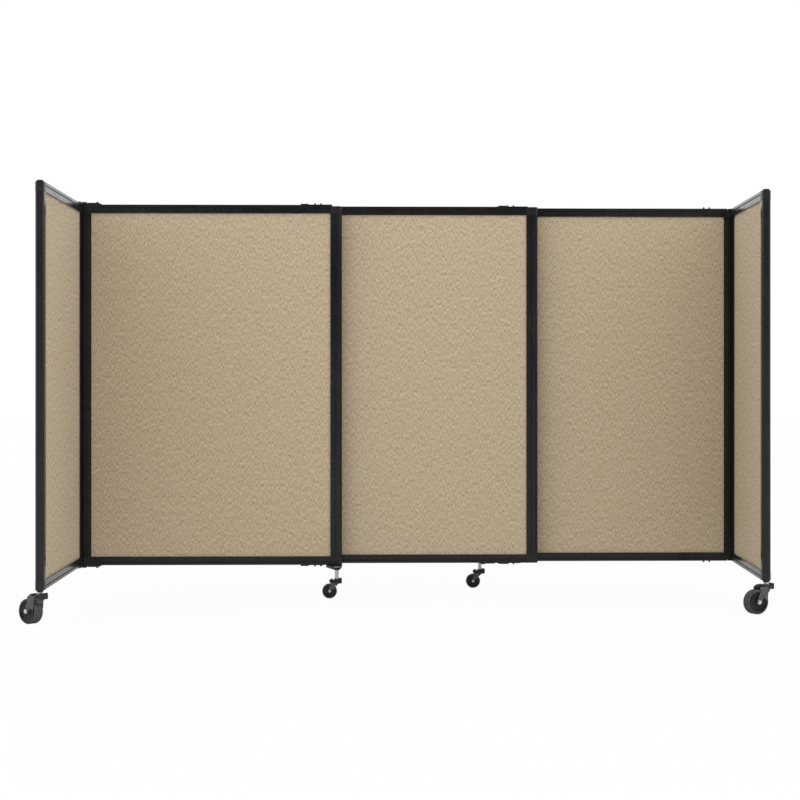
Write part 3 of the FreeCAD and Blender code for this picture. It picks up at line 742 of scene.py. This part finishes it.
def brake_parts(form):
    """The rocker: a ring round the hub with a thick front lobe and a rear shoe."""
    s, bore, top = form.scale, form.bore, form.brake_top
    end, back = form.brake_front - 0.001, form.brake_back
    # The front lobe hangs a little lower on the wing casters.
    foot = top - 0.0133 - 0.0042 * s

    def upright(ahead, radius):
        """The rounded top and foot of the front lobe, at one place ahead."""
        return [(ahead, top - radius, radius), (ahead, foot + radius, radius)]

    thick = (end - bore) / 2
    turn = 0.003
    lug = upright(bore * 0.62 + turn, turn) + upright(end - turn, turn)
    parts = [slab(form, hull_outline(lug), side * bore * 0.80, side * bore * 0.99, 0.0014)
             for side in (-1, 1)]
    parts.append(slab(form, hull_outline(upright(bore + thick, thick)),
                      -bore * 0.81, bore * 0.81, 0.0012))
    # The shoe's rounded corners; the lower two stay clear above the wheel.
    clear = form.radius * 2 + 0.0053 * s
    shoe = [(-bore - 0.0044, top - 0.0064, 0.0044), (back + 0.0046, top - 0.0084, 0.0042),
            (back + 0.004, max(top - 0.012, clear + 0.0036), 0.0036),
            (-bore - 0.004, max(top - 0.0124, clear + 0.004), 0.004)]
    shoe_half = form.hub_radius * 0.86
    parts.append(slab(form, hull_outline(shoe), -shoe_half, shoe_half, 0.0018))
    under, over, edge = form.brake_low + 0.0004, top - 0.0062, 0.001
    radius = form.ring_radius
    ring = [(under, bore), (under, radius - edge), (under + edge, radius),
            (over - edge, radius), (over, radius - edge), (over, bore), (under, bore)]
    parts.append(form.about_swivel(ring, RING_STEPS))
    return joined(*parts)


def axle_parts(form):
    """A shaft with a domed nut on each end."""
    s = form.scale
    outer = form.fork_width / 2
    right = [(outer + out * s, radius * s) for out, radius in AXLE_NUT]
    right.append((outer + AXLE_NUT_HEIGHT * s, AXLE_NUT_TIP))
    shaft = [(-outer, AXLE_RADIUS * s), (outer, AXLE_RADIUS * s)]
    return joined(form.about_axle(mirrored(right), NUT_STEPS),
                  form.about_axle(right, NUT_STEPS),
                  form.about_axle(shaft, SHAFT_STEPS))


def stem_parts(form):
    """The wing casters' stem with the hexagon nut that shows under the post."""
    low, high = [place.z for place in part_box(form.name + "_stem")]
    core, radius = 0.0002, 0.0055
    rod = form.about_swivel([(low, core), (low, radius), (high, radius), (high, core)],
                            ROD_STEPS)
    seat, top = form.hub_top + 0.0004, form.hub_top + 0.0063
    bore, face, corner, edge = 0.005, 0.0078, 0.0085, 0.0006
    nut = form.about_swivel([(seat, bore), (seat, face), (seat + edge, corner),
                             (top - edge, corner), (top, face), (top, bore)], HEXAGON)
    return rod, nut


class PARTITION_OT_casters(bpy.types.Operator):
    """Build the wheels, forks, axles and rocker brakes of the casters"""
    bl_idname = "partition.casters"
    bl_label = "Casters"

    def execute(self, context):
        settings = context.scene.partition_caster
        frame_settings = context.scene.partition_frame
        black = frame_settings.moulding
        nylon, hub, tread, rocker_nylon = [
            moulding_finish(frame_settings, *finish) for finish in (
                ("caster_nylon", settings.nylon, 0.42), ("wheel_hub", black, 0.15, 0.32),
                ("wheel_tread", settings.tread, 0.66), ("rocker_nylon", black, 0.30))]
        zinc = zinc_finish(settings)
        for name in CASTERS:
            form = CasterForm(name)
            tread_mesh, hub_mesh = wheel_parts(form)
            tyre = new_piece(name + "_tyre", *tread_mesh, tread, name + "_roller",
                             "caster_wheel")
            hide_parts(name + "_wheel")
            new_piece(name + "_hub", *hub_mesh, hub, name + "_roller", "caster_wheel")
            fork = new_piece(name + "_forked_arms", *fork_parts(form), nylon,
                             name + "_swivel", "caster_plastic")
            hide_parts(name + "_fork")
            rocker = new_piece(name + "_rocker", *brake_parts(form), rocker_nylon,
                               name + "_lever", "caster_plastic")
            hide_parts(name + "_brake")
            nuts = new_piece(name + "_axle_nuts", *axle_parts(form), zinc,
                             name + "_swivel", "axle_metal")
            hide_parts(name + "_axle")
            if name.endswith("_wing_caster"):
                rod_mesh, nut_mesh = stem_parts(form)
                body = body_of_node[name + "_stem"]
                rod = new_piece(name + "_stem_rod", *rod_mesh, zinc, body, "stem_metal")
                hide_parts(name + "_stem")
                new_piece(name + "_stem_nut", *nut_mesh, zinc, body, "stem_metal",
                          smooth=False)
        dress(nodes_ending("_panel_caster_stem"), zinc)
        return {"FINISHED"}


def even_light(settings):
    """A white room that lights most from the front and the sides; gloss shows its front dim."""
    world = bpy.data.worlds.new("even_light")
    world.use_nodes = True
    room = NodeWork(world.node_tree)
    direction = room.node("ShaderNodeTexCoord", {}, {}, output="Generated")
    side = room.of_three(direction, 0)
    # From zero at the front to one at the back.
    behind = room.of_three(direction, 1) * 0.5 + 0.5
    lit = room.ramp(behind, (0.0, 1), (0.25, 0.94), (0.58, 0.60)) * settings.ambient
    lit = lit * (side * side * 0.8 + 0.83)
    camera_seen = room.ray("Camera")
    seen = room.ramp(behind, (0.20, settings.dim_front), (0.46, 1))
    seen = camera_seen + seen * (1 - camera_seen)
    plain, shown = [
        room.node("ShaderNodeBackground", {}, {"Color": grey(1), "Strength": strength})
        for strength in (lit, seen)]
    blend = room.node("ShaderNodeMixShader", {},
                      {0: room.backdrop_seen(), 1: plain, 2: shown})
    room.feed(room.tree.nodes["World Output"].inputs["Surface"], blend)
    return world


def floor_finish():
    """A pale floor that looks white and still takes a soft shadow; in reflections it shows a painted darker shade.
    """
    pale = Finish("pale_floor", Roughness=0.9, Specular_IOR_Level=0.1)
    # Glossy rays see the floor painted darker, a painted shade on its reflection in the rails.
    pale.surface(Base_Color=pale.shade(pale.ray("Glossy"), grey(FLOOR_SHADE),
                                       grey(FLOOR_PAINTED_SHADE_IN_GLOSS)))
    glow = pale.node("ShaderNodeEmission", {}, {"Strength": 1.0})
    shader = Signal(pale, pale.shader.outputs[0])
    blend = pale.node("ShaderNodeMixShader", {},
                      {0: pale.ray("Camera") * FLOOR_GLOW, 1: shader, 2: glow})
    pale.feed(pale.tree.nodes["Material Output"].inputs["Surface"], blend)
    return pale.material


def strip_lamp(name, place, power):
    """A tall narrow lamp that faces the partition without a tilt."""
    lamp = bpy.data.lights.new(name, "AREA")
    lamp.energy = power
    lamp.shape = "RECTANGLE"
    lamp.size = STRIP_WIDTH
    lamp.size_y = STRIP_HEIGHT
    light = bpy.data.objects.new(name, lamp)
    light.location = place
    aim = Vector((0, 0, place[2])) - Vector(place)
    light.rotation_mode = "QUATERNION"
    light.rotation_quaternion = aim.to_track_quat("-Z", "Y")
    return light


def level_camera(settings):
    """The camera that frames the partition as the photograph does."""
    eye = bpy.data.cameras.new("camera")
    eye.lens = settings.lens
    eye.sensor_width = SENSOR_WIDTH
    eye.shift_y = settings.drop
    eye.clip_end = VIEW_LIMIT
    camera = bpy.data.objects.new("camera", eye)
    camera.location = settings.place
    camera.rotation_euler = (math.pi / 2, 0, -settings.turn)
    return camera


class PARTITION_OT_stage(bpy.types.Operator):
    """Lay the floor and set the light and the camera"""
    bl_idname = "partition.stage"
    bl_label = "Stage"

    def execute(self, context):
        scene = context.scene
        settings = scene.partition_stage
        scene.view_settings.view_transform = "Standard"
        scene.world = even_light(settings)

        bpy.ops.mesh.primitive_plane_add(size=FLOOR_SIZE, location=(0, 0, 0))
        floor = context.active_object
        floor.name = "floor"
        floor.data.materials.append(floor_finish())

        for name, place in STRIPS.items():
            scene.collection.objects.link(strip_lamp(name, place, settings.key))
        scene.camera = level_camera(settings)
        scene.collection.objects.link(scene.camera)
        return {"FINISHED"}


class PARTITION_PT_panel(bpy.types.Panel):
    """Lists the partition's pieces and their settings"""
    bl_idname = "PARTITION_PT_panel"
    bl_label = "Rolling partition"
    bl_space_type = "VIEW_3D"
    bl_region_type = "UI"
    bl_category = "Partition"

    def draw(self, context):
        for operator in OPERATORS:
            self.layout.operator(operator.bl_idname)
        for group in SETTINGS:
            settings = getattr(context.scene, group)
            for name in settings.__annotations__:
                self.layout.prop(settings, name)


SETTINGS = {"partition_cloth": ClothSettings, "partition_frame": FrameSettings,
            "partition_caster": CasterSettings, "partition_stage": StageSettings}
OPERATORS = (PARTITION_OT_cloth, PARTITION_OT_frames, PARTITION_OT_fittings,
             PARTITION_OT_casters, PARTITION_OT_stage)


def register():
    """Make the settings, the operators and the panel known."""
    for name, group in SETTINGS.items():
        bpy.utils.register_class(group)
        setattr(bpy.types.Scene, name, bpy.props.PointerProperty(type=group))
    for operator in OPERATORS:
        bpy.utils.register_class(operator)
    bpy.utils.register_class(PARTITION_PT_panel)


def unregister():
    """Take away what register made known, in the reverse order."""
    bpy.utils.unregister_class(PARTITION_PT_panel)
    for operator in OPERATORS[::-1]:
        bpy.utils.unregister_class(operator)
    for name, group in SETTINGS.items():
        delattr(bpy.types.Scene, name)
        bpy.utils.unregister_class(group)


def main():
    """Dress the partition and set the stage."""
    register()
    bpy.ops.partition.cloth()
    bpy.ops.partition.frames()
    bpy.ops.partition.fittings()
    bpy.ops.partition.casters()
    bpy.ops.partition.stage()


if __name__ == "__main__":
    main()
